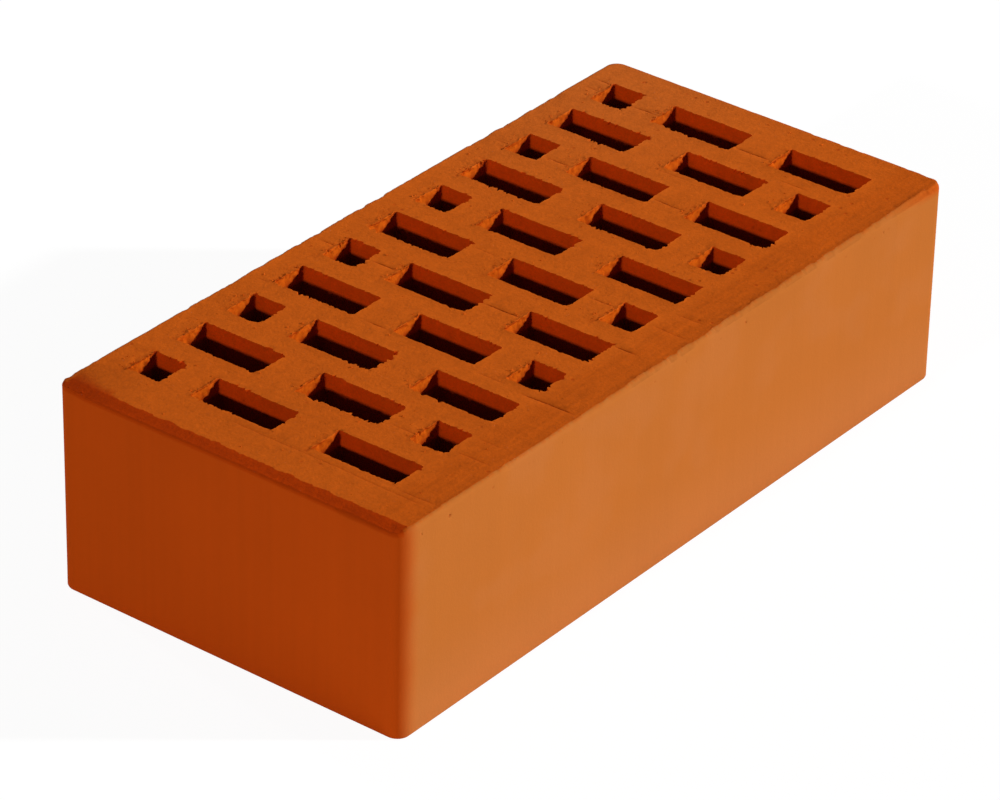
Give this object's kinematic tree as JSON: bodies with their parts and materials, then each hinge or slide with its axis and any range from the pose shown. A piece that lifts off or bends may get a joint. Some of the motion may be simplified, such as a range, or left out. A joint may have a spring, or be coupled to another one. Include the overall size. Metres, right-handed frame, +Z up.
{
  "type": "perforated clay brick",
  "caption": "Perforated clay facing brick, with staggered rows of square and oblong cores through its beds, smooth faces and eased edges, for laying in mortar.",
  "frame": {"origin": "middle of the lower bed, on the floor that the brick lies on", "axes": "+X along the length, from the header that the picture shows to the far one; +Y across the width, from the stretcher face that shows to the back one; +Z up through the cores"},
  "size_m": [0.25, 0.12, 0.065],
  "materials": {
    "fired_clay": "matte fired clay, smooth faces and a wire-cut bed"
  },
  "bodies": {
    "root": {"brick": "fired_clay"}
  },
  "joints": []
}
